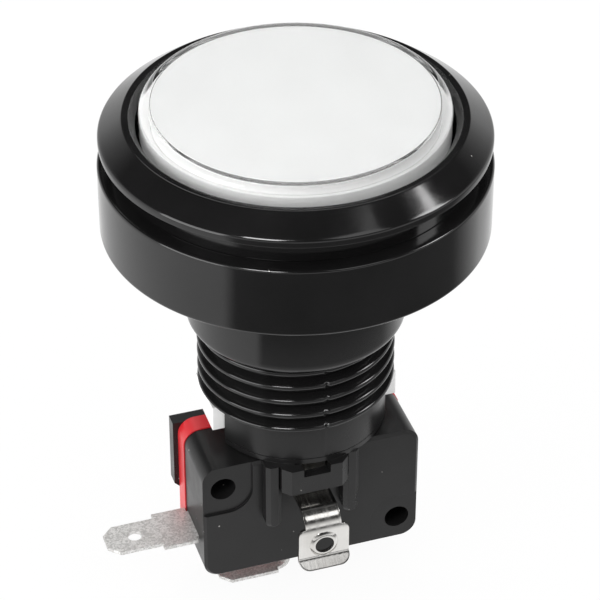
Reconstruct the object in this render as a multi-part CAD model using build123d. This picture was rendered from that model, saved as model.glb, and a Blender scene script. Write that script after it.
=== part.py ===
from build123d import *

import os

# Illuminated arcade push button. Millimetres, +Z up along the button's axis, X along the
# switch below it, Y to the back. The origin is on the axis, where the collar seats on a panel.

# Lamp with a flat wedge base
WEDGE_W = 9.4
WEDGE_T = 2.2
WEDGE_LEN = 9.6
WEDGE_FIT = 0.2
LAMP_R = 4.75
LAMP_BASE_H = 5.0
LED_R = 4.2
LED_H = 7.0
LED_DOME = 2.4
LEAD_W = 1.2
LEAD_T = 0.4

# Lit cap and plunger
LENS_R = 17.75
LENS_PROUD = 1.7  # height of the cap above the bezel's lip
LENS_H = 4.0  # whole height of the cap
LENS_TOP = 1.5
LENS_WALL = 0.7
LENS_EDGE = 0.5  # chamfer round its top
DISC_T = 0.8
DISC_INSET = 1.5  # from the plunger's edge in to the disc
DISC_FIT = 0.15  # around the disc
RIM_GAP = 0.1  # between the plunger's rim and the cap's underside
CAP_FIT = 0.15  # between the cap and what it snaps over
DRUM_WALL = 2.2
WEB_T = 1.4
HEAD_INSET = 0.25  # from the cap's edge in to the plunger's head
SOCKET_FIT = 0.9  # between the lamp socket and the plunger's tube
TUBE_WALL = 1.2
TUBE_FIT = 0.4  # between the tube and its guide
TUBE_GAP = 0.3  # under the pressed tube
LEG_W = 7.2
LEG_PROUD = 0.7  # reach of a leg's hook past the pilot
LEG_FIT = 0.3  # between a leg and the sides of its slot
HOOK_FIT = 0.25  # between a hook and the end of its slot
TRAVEL = 1.8
STOP_GAP = 0.3  # left below the web and the legs when pressed

# Return spring
WIRE_D = 0.7
SPRING_FIT = 0.25  # each side of the wire
SPRING_TURNS = 5
SPRING_SHELF = 8.0  # depth of the spring's shelf below the panel seat

# Housing: bezel, bowl, threaded stem and slotted pilot in one moulding
LENS_GAP = 0.45  # between the cap and the bowl
BOWL_WALL = 1.3
BOWL_FLOOR = 1.6
BEZEL_INSET = 0.2  # from the collar's edge in to the bezel's
BEZEL_GAP = 2.85  # height of the open groove between bezel and collar
BEZEL_EDGE = 0.9  # height of the bezel's outer edge
BEZEL_RISE = 2.1  # height of its cone
BEZEL_LIP = 1.5  # width of its flat inner lip
BEZEL_BREAK = 0.25  # chamfers on its edges
BEZEL_SEAT = 1.0  # width of the ring that rests on the collar
STEM_WALL = 1.15
STEM_LEN = 22.4  # from the panel seat to the end of the thread
THREAD_DEPTH = 1.1
THREAD_PITCH = 2.07
THREAD_TURNS = 6
THREAD_START = -160  # degrees round from +X to the ridge's lower end
THREAD_CREST = 0.45  # width of the ridge at its crest
THREAD_ROOT = 1.85  # width of the ridge at its foot
THREAD_SINK = 0.2  # depth of the foot in the stem
PILOT_STEP = 0.15
PILOT_WALL = 1.0
PILOT_LEN = 4.9

# Spacer collar, loose on the stem, with a neck that goes through the panel
SPIGOT_FIT = 0.3  # around the bowl, in the collar
SPIGOT_GAP = 0.8  # under the bowl, in the collar
COLLAR_WALL = 2.9
COLLAR_H = 8.75
COLLAR_FLOOR = 2.6
COLLAR_BREAK = 0.3
THREAD_FIT = 0.3  # between the thread's crests and the collar's bore
NECK_WALL = 0.95
NECK_LEN = 12.9
NECK_BREAK = 0.6

# Lamp holder, plugged into the pilot
SOCKET_R = 6.3
SOCKET_H = 11.4
RIM_T = 0.65
PLUG_FIT = 0.2
PLUG_GAP = 0.3  # between the plug's end and the stem's step
PLUG_WALL = 1.4
PLUG_FLOOR = 1.4
NOTCH_FIT = 0.3  # around the plunger's legs
CLIP_X = -1.1  # the clip sits a little left of the switch's middle
TAB_W = 6.3
TAB_CHAMFER = 1.0
TAB_DEPTH = 3.25
TAB_WALL = 1.3
TAB_H = 3.6
WINDOW_W = 3.3
WINDOW_H = 1.1
RIB_W = 1.95
RIB_T = 1.8
RIB_H = 9.6
RIB_SPACING = 9.75
PLATE_T = 1.7
PLATE_PROUD = 0.75  # past the switch's terminal end
PLATE_INSET = 0.5  # short of its other end
PLATE_DROP = 0.35  # from the switch's top down to the plate's
PLATE_H = 10.3
PLATE_NECK = 11.0  # width of the neck up to the rim
PLATE_MARGIN = 2.2  # under the lower peg
PLATE_CHAMFER = 0.9
PEG_FIT = 0.05
PEG_LEN = 5.0

# Lamp terminals, bent from strip
STRIP_W = 4.5
STRIP_T = 0.5
STRIP_FIT = 0.15
STRIP_INSET = 0.65  # from the plug's edge in to the strip's middle
STRIP_BEND = 0.8
LUG_BEND = 2.2  # where the strip turns down to the lug
STRIP_DROP = 2.15  # from the pocket's end down to the bend
LUG_W = 6.3
LUG_H = 5.6
LUG_NECK = 1.5  # narrow part below the upper bend
LUG_ROUND = 1.3
LUG_LIP = 1.2
LUG_REACH = 5.1  # from the strip's vertical run out to the lug
LUG_HOLE_R = 1.17
EYELET_WALL = 0.43
EYELET_H = 0.3

# Snap-action switch
CASE_L = 27.3
CASE_H = 16.7
CASE_T = 8.0
CASE_WALL = 1.5
CASE_ROUND = 2.0
CASE_BREAK = 0.35  # chamfer round the case's front
COVER_T = 2.5
COVER_PROUD = 0.15  # past the case all round
COVER_STEP = 1.6  # lower part of its top, beside the pin
SWITCH_GAP = 0.05  # between the holder and the case
HOLE_R = 1.55
HOLE_INSET = 2.55  # from the case's end to a hole
HOLE_TOP = 3.3  # from the case's top to the upper hole
HOLE_BOTTOM = 3.1  # from the case's bottom to the lower hole
BOSS_R = 2.6  # solid corner around a hole
PAD_REACH = 3.6  # from a hole to the edge of its sunk pad
PAD_ROUND = 3.0
PAD_DEPTH = 0.35
PIN_END = 3.6  # from the case's end to the pin
PIN_SETBACK = 5.9  # from the case's front face to the pin
PIN_R = 1.1
PIN_FIT = 0.05
PIN_RELIEF = 0.15  # around the pin in the pilot and the holder
PIN_LASH = 0.15  # between the leg and the pin at rest
PIN_SHARE = 0.92  # pin travel for each millimetre of plunger travel
FOOT_R = 1.7
FOOT_T = 0.8
NUB_R = 0.6
NUB_LEN = 2.6
BLADE_T = 0.3
BLADE_W = 3.6
BLADE_LASH = 0.25
ROLL_R = 0.5  # rolled root that the blade turns on
ROLL_FIT = 0.05
CONTACT_R = 1.2
CONTACT_T = 1.1
CONTACT_ARM = 12.0  # from the blade's root to its contact
CONTACT_GAP = 0.25  # left between the contacts when pressed

# Switch terminals
TAB_T = 0.5
COM_W = 4.8
NO_W = 4.8
SHOULDER_W = 6.3
TERMINAL_SETBACK = 5.1  # from the case's front face to the terminals' middle
COM_H = 4.25  # from the case's bottom to the underside of the tab
COM_REACH = 11.1
COM_SHOULDER = 4.5
COM_HOLE_R = 0.85
COM_HOLE_INSET = 3.7
TIP_CHAMFER = 1.2
TIP_COIN = 0.15
POST_INSET = 6.3  # from the case's end to the post inside
NO_INSET = 11.6  # from the case's end to the strip through its bottom
NO_DROP = 3.7  # from the case's bottom to the tab's upper face
NO_REACH = 8.8
NO_NECK = 1.4
NO_BEND = 1.2

# Radii from the lamp outwards
tube_bore_r = SOCKET_R + SOCKET_FIT
tube_r = tube_bore_r + TUBE_WALL
guide_r = tube_r + TUBE_FIT
coil_r = tube_r + SPRING_FIT + WIRE_D / 2
spring_bore_r = coil_r + WIRE_D / 2 + SPRING_FIT
stem_r = spring_bore_r + STEM_WALL
thread_r = stem_r + THREAD_DEPTH
collar_bore_r = thread_r + THREAD_FIT
neck_r = collar_bore_r + NECK_WALL
pilot_r = stem_r + PILOT_STEP
pilot_bore_r = pilot_r - PILOT_WALL
plug_r = pilot_bore_r - PLUG_FIT
leg_reach = pilot_r + LEG_PROUD
slot_w = LEG_W + 2 * LEG_FIT

# Radii from the cap outwards
cap_bore_r = LENS_R - LENS_WALL
drum_r = cap_bore_r - CAP_FIT
disc_r = drum_r - DISC_INSET
bowl_r = LENS_R + LENS_GAP
spigot_r = bowl_r + BOWL_WALL
recess_r = spigot_r + SPIGOT_FIT
collar_r = recess_r + COLLAR_WALL
bezel_r = collar_r - BEZEL_INSET

# Heights above the panel seat
spigot_low = COLLAR_FLOOR + SPIGOT_GAP
bowl_floor = spigot_low + BOWL_FLOOR
bezel_low = COLLAR_H + BEZEL_GAP
bezel_shoulder = bezel_low + BEZEL_EDGE
bezel_top = bezel_shoulder + BEZEL_RISE
web_low = bowl_floor + TRAVEL + STOP_GAP
web_high = web_low + WEB_T
lens_high = bezel_top + LENS_PROUD
disc_high = lens_high - LENS_TOP
disc_low = disc_high - DISC_T
cap_low = lens_high - LENS_H

# Heights below the panel seat
tube_low = -STEM_LEN + TRAVEL + TUBE_GAP
hook_high = -STEM_LEN - HOOK_FIT
plug_high = -STEM_LEN - PLUG_GAP
pilot_low = -STEM_LEN - PILOT_LEN
floor_high = pilot_low + PLUG_FLOOR
socket_high = pilot_low + SOCKET_H
rim_low = pilot_low - RIM_T
case_top = rim_low - SWITCH_GAP - COVER_PROUD
case_low = case_top - CASE_H
leg_low = case_top + TRAVEL + STOP_GAP

# Places of the lamp terminals and the switch, which stands behind the front one
finger_y = WEDGE_T / 2 + LEAD_T + STRIP_T / 2
strip_y = plug_r - STRIP_INSET
case_front = STRIP_T / 2 + 2 * STRIP_FIT - strip_y
case_back = case_front + CASE_T
cover_back = case_back + COVER_T
bend_z = rim_low - TAB_H - STRIP_DROP
lug_y = strip_y + LUG_REACH
lug_high = bend_z - LUG_NECK
lug_low = lug_high - LUG_H

# Inside the switch
pin_x = (tube_bore_r + leg_reach) / 2
pin_y = case_front + PIN_SETBACK
case_right = pin_x + PIN_END
case_left = case_right - CASE_L
case_x = (case_left + case_right) / 2
terminal_y = case_front + TERMINAL_SETBACK
upper_hole = (case_left + HOLE_INSET, case_top - HOLE_TOP)
lower_hole = (case_right - HOLE_INSET, case_low + HOLE_BOTTOM)
pin_top = leg_low - PIN_LASH
foot_high = case_top - CASE_WALL - PIN_LASH
nub_low = foot_high - FOOT_T - NUB_LEN
blade_high = nub_low - BLADE_LASH
blade_low = blade_high - BLADE_T
root_x = case_left + POST_INSET
root_z = (blade_high + blade_low) / 2
contact_x = root_x + CONTACT_ARM
contact_drop = TRAVEL * PIN_SHARE * CONTACT_ARM / (pin_x - root_x)
fixed_top = blade_low - CONTACT_T - contact_drop - CONTACT_GAP
com_high = case_low + COM_H + TAB_T
no_x = case_left + NO_INSET


def block(x, y, z):
    """Box between pairs of low and high values on each axis."""
    size = [high - low for low, high in (x, y, z)]
    centre = [(high + low) / 2 for low, high in (x, y, z)]
    return Pos(*centre) * Box(*size)


def about(middle, width):
    """Low and high value of a width about its middle."""
    return (middle - width / 2, middle + width / 2)


def drum(radius, z, at=(0, 0)):
    """Upright cylinder between a low and a high value."""
    return Pos(*at, (z[0] + z[1]) / 2) * Cylinder(radius, z[1] - z[0])


def crossbar(radius, y, at):
    """Cylinder along Y at a point of the XZ plane."""
    return Pos(at[0], (y[0] + y[1]) / 2, at[1]) * Rot(90, 0, 0) * Cylinder(radius, y[1] - y[0])


def turned(section, breaks=()):
    """Solid turned about Z from corners (radius, height), some of them chamfered."""
    face = make_face(Polyline(*section, close=True).edges())
    for corner, length in breaks:
        face = chamfer(face.vertices().sort_by_distance((*corner, 0))[0], length)
    return revolve(Plane.XZ * face, Axis.Z)


def standing(outline, y):
    """Sketch of the XZ plane extruded between two depths."""
    return Pos(0, y[1], 0) * extrude(Plane.XZ * outline, y[1] - y[0])


def both_sides(solid):
    """A solid and its twin turned half round the axis."""
    return solid + Rot(0, 0, 180) * solid


def pin_relief():
    """Room for the switch pin in what stands round it."""
    return drum(PIN_R + PIN_RELIEF, (case_top, pin_top + PIN_RELIEF), (pin_x, pin_y))


def spacer_collar():
    section = [
        (collar_bore_r, -NECK_LEN),
        (neck_r, -NECK_LEN),
        (neck_r, 0),
        (collar_r, 0),
        (collar_r, COLLAR_H),
        (recess_r, COLLAR_H),
        (recess_r, COLLAR_FLOOR),
        (collar_bore_r, COLLAR_FLOOR),
    ]
    breaks = [
        ((neck_r, -NECK_LEN), min(NECK_BREAK, 0.95 * NECK_WALL)),
        ((collar_r, 0), COLLAR_BREAK),
        ((collar_r, COLLAR_H), COLLAR_BREAK),
    ]
    return turned(section, breaks)


def thread():
    """Ridge wound up the stem, cut off square at the thread's end."""
    foot_r = stem_r - THREAD_SINK
    low = -STEM_LEN
    helix = Helix(pitch=THREAD_PITCH, height=THREAD_TURNS * THREAD_PITCH, radius=foot_r)
    section = Polyline(
        (foot_r, -THREAD_ROOT / 2),
        (thread_r, -THREAD_CREST / 2),
        (thread_r, THREAD_CREST / 2),
        (foot_r, THREAD_ROOT / 2),
        close=True,
    )
    ridge = sweep(Plane.XZ * make_face(section.edges()), path=helix, is_frenet=True)
    return Pos(0, 0, low) * Rot(0, 0, THREAD_START) * ridge - drum(collar_r, (low - THREAD_PITCH, low))


def housing():
    seat_r = recess_r + BEZEL_SEAT
    section = [
        (bowl_r, bowl_floor),
        (bowl_r, bezel_top),
        (bowl_r + BEZEL_LIP, bezel_top),
        (bezel_r, bezel_shoulder),
        (bezel_r, bezel_low),
        (seat_r, bezel_low),
        (seat_r, COLLAR_H),
        (spigot_r, COLLAR_H),
        (spigot_r, spigot_low),
        (stem_r, spigot_low),
        (stem_r, -STEM_LEN),
        (pilot_r, -STEM_LEN),
        (pilot_r, pilot_low),
        (pilot_bore_r, pilot_low),
        (pilot_bore_r, -STEM_LEN),
        (guide_r, -STEM_LEN),
        (guide_r, -SPRING_SHELF),
        (spring_bore_r, -SPRING_SHELF),
        (spring_bore_r, bowl_floor),
    ]
    breaks = [
        ((bowl_r, bezel_top), BEZEL_BREAK),
        ((bowl_r + BEZEL_LIP, bezel_top), BEZEL_BREAK),
        ((bezel_r, bezel_shoulder), BEZEL_BREAK),
        ((bezel_r, bezel_low), BEZEL_BREAK),
    ]
    slot = block((tube_bore_r, leg_reach + 1), about(0, slot_w), (pilot_low - 1, -STEM_LEN))
    return turned(section, breaks=breaks) - both_sides(slot) - pin_relief() + thread()


def lens_cap():
    section = [
        (0, lens_high),
        (LENS_R, lens_high),
        (LENS_R, cap_low),
        (cap_bore_r, cap_low),
        (cap_bore_r, disc_high),
        (0, disc_high),
    ]
    return turned(section, breaks=[((LENS_R, lens_high), LENS_EDGE)])


def legend_disc():
    return drum(disc_r, (disc_low, disc_high))


def plunger():
    """Head with a seat for the disc inside the cap, guide tube and two hooked legs."""
    head_r = LENS_R - HEAD_INSET
    seat_r = disc_r + DISC_FIT
    rim_high = disc_high - RIM_GAP
    section = [
        (tube_bore_r, tube_low),
        (tube_r, tube_low),
        (tube_r, web_low),
        (head_r, web_low),
        (head_r, cap_low),
        (drum_r, cap_low),
        (drum_r, rim_high),
        (seat_r, rim_high),
        (seat_r, disc_low),
        (drum_r - DRUM_WALL, disc_low),
        (drum_r - DRUM_WALL, web_high),
        (tube_bore_r, web_high),
    ]
    width = about(0, LEG_W)
    shank = drum(tube_r, (leg_low, tube_low)) & block((0, tube_r), width, (leg_low, tube_low))
    hook = block((0, leg_reach), width, (leg_low, hook_high))
    leg = shank + hook - drum(tube_bore_r, (leg_low - 1, tube_low + 1))
    return turned(section) + both_sides(leg)


def return_spring():
    """Wire wound from the shelf in the stem up to the plunger's web, with six flats."""
    height = web_low + SPRING_SHELF - WIRE_D
    coil = Helix(pitch=height / SPRING_TURNS, height=height, radius=coil_r)
    end = Plane(origin=coil @ 0, z_dir=coil % 0)
    wire = sweep(end * RegularPolygon(WIRE_D / 2, 6), path=coil, is_frenet=True)
    return Pos(0, 0, WIRE_D / 2 - SPRING_SHELF) * wire


def strip(width, thickness, side):
    """Strip bent along its centre line in the YZ plane, from the lamp down to the lug's lip."""
    run_z = pilot_low + PLUG_FLOOR / 2
    line = [
        (finger_y, socket_high - 2 * STRIP_BEND),
        (finger_y, run_z),
        (strip_y, run_z),
        (strip_y, bend_z),
        (lug_y, bend_z),
        (lug_y, lug_low + LUG_LIP),
        (lug_y + LUG_LIP, lug_low),
    ]
    bends = [STRIP_BEND, STRIP_BEND, STRIP_BEND, LUG_BEND, STRIP_BEND]
    path = FilletPolyline(*[(CLIP_X, side * y, z) for y, z in line], radius=bends)
    start = Plane(origin=path @ 0, x_dir=(1, 0, 0), z_dir=path % 0)
    return sweep(start * Rectangle(width, thickness), path=path)


def lamp_terminal(side):
    """Bent strip that widens to a solder lug with a raised hole."""
    end_low = lug_low - STRIP_T
    middle = (lug_high + end_low) / 2
    reach = lug_y + LUG_LIP + STRIP_T
    outline = Pos(CLIP_X, middle) * RectangleRounded(LUG_W, lug_high - end_low, LUG_ROUND)
    outline += Pos(CLIP_X, (socket_high + middle) / 2) * Rectangle(STRIP_W, socket_high - middle)
    blank = strip(LUG_W, STRIP_T, side) & standing(outline, (-reach, reach))
    faces = (side * (lug_y - STRIP_T / 2), side * (lug_y + STRIP_T / 2 + EYELET_H))
    at = (CLIP_X, middle + LUG_LIP / 2)
    eyelet = crossbar(LUG_HOLE_R + EYELET_WALL, sorted(faces), at)
    return blank + eyelet - crossbar(LUG_HOLE_R, (min(faces) - 1, max(faces) + 1), at)


def clip_tab():
    """Pocket below the rim that guides a lamp terminal, open to the outside by a window."""
    inner = SWITCH_GAP - case_front
    outer = inner + TAB_DEPTH
    half = TAB_W / 2
    wide = half + TAB_CHAMFER
    plan = Polyline(
        (-half, outer),
        (half, outer),
        (wide, outer - TAB_CHAMFER),
        (wide, inner),
        (-wide, inner),
        (-wide, outer - TAB_CHAMFER),
        close=True,
    )
    low = rim_low - TAB_H
    tab = Pos(0, 0, low) * extrude(make_face(plan.edges()), TAB_H)
    tab -= block(about(0, STRIP_W + 2 * STRIP_FIT), (inner - 1, outer - TAB_WALL), (low - 1, rim_low))
    tab -= block(about(0, WINDOW_W), (inner, outer + 1), (rim_low - WINDOW_H, rim_low))
    return Pos(CLIP_X, 0, 0) * tab


def clip_rib(x):
    """Round-ended bar in front of the switch."""
    back = case_front - SWITCH_GAP
    low = rim_low - RIB_H + RIB_W / 2
    depth = (back - RIB_T, back)
    bar = block(about(x, RIB_W), depth, (low, rim_low)) + crossbar(RIB_W / 2, depth, (x, low))
    front = bar.faces().sort_by(Axis.Y)[0]
    return chamfer(front.edges().filter_by(lambda edge: edge.center().Z < rim_low - RIB_W / 4), RIB_W / 4)


def rear_bracket():
    """Plate behind the switch with two pegs into its holes, on a neck below the rim."""
    left = case_left - PLATE_PROUD
    right = case_right - PLATE_INSET
    high = case_top - PLATE_DROP
    low = high - PLATE_H
    lobe_low = lower_hole[1] - PLATE_MARGIN
    lobe_x = lower_hole[0] - BOSS_R
    outline = Polyline(
        (left, high),
        (right, high),
        (right, lobe_low),
        (lobe_x, lobe_low),
        (lobe_x - (low - lobe_low), low),
        (left + PLATE_CHAMFER, low),
        (left, low + PLATE_CHAMFER),
        close=True,
    )
    depth = (cover_back, cover_back + PLATE_T)
    plate = standing(make_face(outline.edges()), depth)
    plate += block(about(0, PLATE_NECK), depth, (high, pilot_low))
    for hole in (upper_hole, lower_hole):
        plate += crossbar(HOLE_R - PEG_FIT, (cover_back - PEG_LEN, cover_back), hole)
    return plate


def lamp_holder():
    """Rim, slotted plug and lamp socket, with the clip in front and the bracket behind."""
    body = drum(pilot_r, (rim_low, pilot_low)) + drum(plug_r, (pilot_low, plug_high))
    body -= drum(plug_r - PLUG_WALL, (floor_high, plug_high))
    body += drum(SOCKET_R, (pilot_low, socket_high))
    body += rear_bracket() + clip_tab() + mirror(clip_tab(), Plane.XZ)
    for side in (-1, 1):
        body += clip_rib(CLIP_X + side * RIB_SPACING / 2)
    notch_z = (case_top - SWITCH_GAP, plug_high + 1)
    notch = block((0, leg_reach + NOTCH_FIT), about(0, slot_w), notch_z)
    body -= both_sides(notch - drum(tube_bore_r - NOTCH_FIT, notch_z))
    wedge_z = (socket_high - WEDGE_LEN - WEDGE_FIT, socket_high + 1)
    body -= block(about(0, WEDGE_W + 2 * WEDGE_FIT), about(0, WEDGE_T + 2 * WEDGE_FIT), wedge_z)
    throat = 2 * finger_y + STRIP_T + 2 * STRIP_FIT
    body -= block(about(CLIP_X, STRIP_W + 2 * STRIP_FIT), about(0, throat), (floor_high, socket_high + 1))
    for side in (-1, 1):
        body -= strip(STRIP_W + 2 * STRIP_FIT, STRIP_T + 2 * STRIP_FIT, side)
    return body - pin_relief()


def lamp_base():
    """Flat wedge that stands in the socket, below a round body."""
    wedge = block(about(0, WEDGE_W), about(0, WEDGE_T), (socket_high - WEDGE_LEN, socket_high))
    return wedge + drum(LAMP_R, (socket_high, socket_high + LAMP_BASE_H))


def lamp_led():
    low = socket_high + LAMP_BASE_H
    section = [(0, low), (LED_R, low), (LED_R, low + LED_H), (0, low + LED_H)]
    return turned(section, breaks=[((LED_R, low + LED_H), LED_DOME)])


def lamp_lead(side):
    """Bare wire laid flat on one face of the wedge."""
    faces = sorted((side * WEDGE_T / 2, side * (WEDGE_T / 2 + LEAD_T)))
    return block(about(CLIP_X, LEAD_W), faces, (socket_high - WEDGE_LEN, socket_high))


def case_outline(margin=0):
    size = (CASE_L + 2 * margin, CASE_H + 2 * margin)
    return Pos(case_x, case_top - CASE_H / 2) * RectangleRounded(*size, CASE_ROUND + margin)


def corner_at(hole, reach):
    """Square from a hole towards the case's middle, with its outer sides past the case."""
    side = 1 if hole[0] < case_x else -1
    x = sorted((hole[0] + side * reach, hole[0] - side * CASE_L))
    z = sorted((hole[1] - side * reach, hole[1] + side * CASE_H))
    return x, z


def sunk_pad(hole):
    """Shallow pad round a hole, with a large round on its inner corner."""
    x, z = corner_at(hole, PAD_REACH)
    pad = block(x, (case_front - 1, case_front + PAD_DEPTH), z)
    inner = pad.edges().filter_by(Axis.Y).sort_by_distance((case_x, case_front, case_top - CASE_H / 2))[0]
    return fillet(inner, PAD_ROUND)


def switch_case():
    """Open-backed case with sunk corners round its holes, a pin hole and terminal slots."""
    body = standing(case_outline(), (case_front, case_back))
    body = chamfer(body.faces().sort_by(Axis.Y)[0].edges(), CASE_BREAK)
    depth = (case_front + CASE_WALL, case_back + 1)
    inside = (case_left + CASE_WALL, case_right - CASE_WALL)
    cavity = block(inside, depth, (case_low + CASE_WALL, case_top - CASE_WALL))
    for hole in (upper_hole, lower_hole):
        x, z = corner_at(hole, BOSS_R)
        cavity -= block(x, (depth[0] - 1, depth[1] + 1), z)
        body -= sunk_pad(hole) + crossbar(HOLE_R, (case_front - 1, case_back + 1), hole)
    body -= cavity
    body -= drum(PIN_R + PIN_FIT, (case_top - 2 * CASE_WALL, case_top + 1), (pin_x, pin_y))
    com_z = (com_high - TAB_T - PIN_FIT, com_high + PIN_FIT)
    body -= block((case_left - 1, inside[0] + 1), about(terminal_y, COM_W + 2 * PIN_FIT), com_z)
    no_z = (case_low - 1, case_low + CASE_WALL + 1)
    return body - block(about(no_x, TAB_T + 2 * PIN_FIT), about(terminal_y, BLADE_W + 2 * PIN_FIT), no_z)


def switch_cover():
    body = standing(case_outline(COVER_PROUD), (case_back, cover_back))
    for hole in (upper_hole, lower_hole):
        body -= crossbar(HOLE_R, (case_back - 1, cover_back + 1), hole)
    step = (case_top - COVER_STEP, case_top + COVER_PROUD + 1)
    return body - block((pin_x, case_right + COVER_PROUD + 1), (case_back - 1, cover_back + 1), step)


def switch_pin():
    """Pin with a foot that keeps it in the case and a nub on the blade."""
    section = [
        (0, nub_low),
        (NUB_R, nub_low),
        (NUB_R, foot_high - FOOT_T),
        (FOOT_R, foot_high - FOOT_T),
        (FOOT_R, foot_high),
        (PIN_R, foot_high),
        (PIN_R, pin_top),
        (0, pin_top),
    ]
    return Pos(pin_x, pin_y, 0) * turned(section, breaks=[((PIN_R, pin_top), PIN_R / 3)])


def flat_tab(tip_x, end_x, width, low):
    """Flat tab that points to -X, with a chamfered and coined tip."""
    half = width / 2
    plan = Polyline(
        (tip_x, half - TIP_CHAMFER),
        (tip_x + TIP_CHAMFER, half),
        (end_x, half),
        (end_x, -half),
        (tip_x + TIP_CHAMFER, -half),
        (tip_x, TIP_CHAMFER - half),
        close=True,
    )
    tab = Pos(0, terminal_y, low) * extrude(make_face(plan.edges()), TAB_T)
    tip = tab.edges().filter_by(lambda edge: edge.center().X < tip_x + TIP_CHAMFER * 0.75)
    return chamfer(tip.filter_by(Axis.Z, reverse=True), TIP_COIN)


def com_terminal():
    """Flat tab out of the switch's end, with a post inside that carries the blade."""
    tip_x = case_left - COM_REACH
    z = (com_high - TAB_T, com_high)
    tab = flat_tab(tip_x, root_x + TAB_T / 2, COM_W, z[0])
    shoulder_x = (case_left - COM_SHOULDER, case_left - COVER_PROUD - SWITCH_GAP)
    tab += block(shoulder_x, about(terminal_y, SHOULDER_W), z)
    post_z = (z[0], root_z - ROLL_R - ROLL_FIT)
    tab += block(about(root_x, TAB_T), about(terminal_y, BLADE_W), post_z)
    return tab - drum(COM_HOLE_R, (z[0] - 1, z[1] + 1), (tip_x + COM_HOLE_INSET, terminal_y))


def no_terminal():
    """Strip from the fixed contact down through the case's bottom, bent into a flat tab."""
    seat_z = fixed_top - CONTACT_T - TAB_T / 2
    tab_z = case_low - NO_DROP - TAB_T / 2
    end_x = no_x - NO_NECK
    line = [(contact_x + CONTACT_R, seat_z), (no_x, seat_z), (no_x, tab_z), (end_x - NO_NECK, tab_z)]
    path = FilletPolyline(*[(x, terminal_y, z) for x, z in line], radius=NO_BEND)
    start = Plane(origin=path @ 0, x_dir=(0, 1, 0), z_dir=path % 0)
    neck = sweep(start * Rectangle(BLADE_W, TAB_T), path=path)
    return neck + flat_tab(no_x - NO_REACH, end_x, NO_W, tab_z - TAB_T / 2)


def moving_blade():
    """Leaf on a rolled root."""
    width = about(terminal_y, BLADE_W)
    leaf = block((root_x, pin_x + FOOT_R), width, (blade_low, blade_high))
    return leaf + crossbar(ROLL_R, width, (root_x, root_z))


def moving_contact():
    return drum(CONTACT_R, (blade_low - CONTACT_T, blade_low), (contact_x, terminal_y))


def fixed_contact():
    return drum(CONTACT_R, (fixed_top - CONTACT_T, fixed_top), (contact_x, terminal_y))


PIECES = {
    "housing": housing(),
    "spacer_collar": spacer_collar(),
    "lens_cap": lens_cap(),
    "legend_disc": legend_disc(),
    "plunger": plunger(),
    "return_spring": return_spring(),
    "lamp_holder": lamp_holder(),
    "lamp_base": lamp_base(),
    "lamp_led": lamp_led(),
    "lamp_lead_front": lamp_lead(-1),
    "lamp_lead_rear": lamp_lead(1),
    "front_lamp_terminal": lamp_terminal(-1),
    "rear_lamp_terminal": lamp_terminal(1),
    "switch_case": switch_case(),
    "switch_cover": switch_cover(),
    "switch_pin": switch_pin(),
    "com_terminal": com_terminal(),
    "no_terminal": no_terminal(),
    "moving_blade": moving_blade(),
    "moving_contact": moving_contact(),
    "fixed_contact": fixed_contact(),
}

os.makedirs("parts", exist_ok=True)
for node, shape in PIECES.items():
    export_step(shape, f"parts/{node}.step")
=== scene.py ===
import math

import bmesh
import bpy
import numpy as np
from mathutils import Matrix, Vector


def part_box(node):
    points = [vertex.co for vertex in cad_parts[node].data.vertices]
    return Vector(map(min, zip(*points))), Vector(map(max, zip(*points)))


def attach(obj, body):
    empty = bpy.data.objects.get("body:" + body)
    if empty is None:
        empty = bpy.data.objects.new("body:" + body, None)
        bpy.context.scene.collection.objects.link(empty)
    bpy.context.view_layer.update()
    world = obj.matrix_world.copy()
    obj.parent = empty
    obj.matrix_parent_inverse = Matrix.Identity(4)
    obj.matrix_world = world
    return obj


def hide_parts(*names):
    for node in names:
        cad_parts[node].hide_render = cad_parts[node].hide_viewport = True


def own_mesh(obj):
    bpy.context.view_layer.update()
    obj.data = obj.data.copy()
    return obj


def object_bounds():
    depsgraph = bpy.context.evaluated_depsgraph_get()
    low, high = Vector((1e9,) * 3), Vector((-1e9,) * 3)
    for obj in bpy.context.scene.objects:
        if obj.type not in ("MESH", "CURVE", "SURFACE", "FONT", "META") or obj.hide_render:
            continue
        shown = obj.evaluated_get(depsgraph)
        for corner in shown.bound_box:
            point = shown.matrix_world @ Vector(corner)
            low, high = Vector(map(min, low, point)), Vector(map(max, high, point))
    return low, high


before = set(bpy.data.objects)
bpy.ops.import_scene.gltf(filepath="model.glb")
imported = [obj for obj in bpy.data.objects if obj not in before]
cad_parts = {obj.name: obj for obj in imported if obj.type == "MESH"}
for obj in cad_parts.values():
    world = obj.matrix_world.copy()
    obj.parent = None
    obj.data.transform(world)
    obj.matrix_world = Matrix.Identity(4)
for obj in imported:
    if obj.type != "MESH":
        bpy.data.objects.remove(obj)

# Looks of a lit arcade push button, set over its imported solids. The forms below are worked out
# in millimetres in the part's frame: Z along the button's axis, X along the switch, Y to the back.
MM = 0.001
cad_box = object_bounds()


def corners_of(node):
    """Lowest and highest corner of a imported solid, in millimetres."""
    return [np.array(corner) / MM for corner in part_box(node)]


# Sizes read from the frame
housing_low, housing_high = corners_of("housing")
collar_low, collar_high = corners_of("spacer_collar")
cap_low, cap_high = corners_of("lens_cap")
disc_low, disc_high = corners_of("legend_disc")
spring_low, spring_high = corners_of("return_spring")
bezel_r = housing_high[0]
bezel_top = housing_high[2]
pilot_low = housing_low[2]
collar_r = collar_high[0]
cap_r = cap_high[0]

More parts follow.
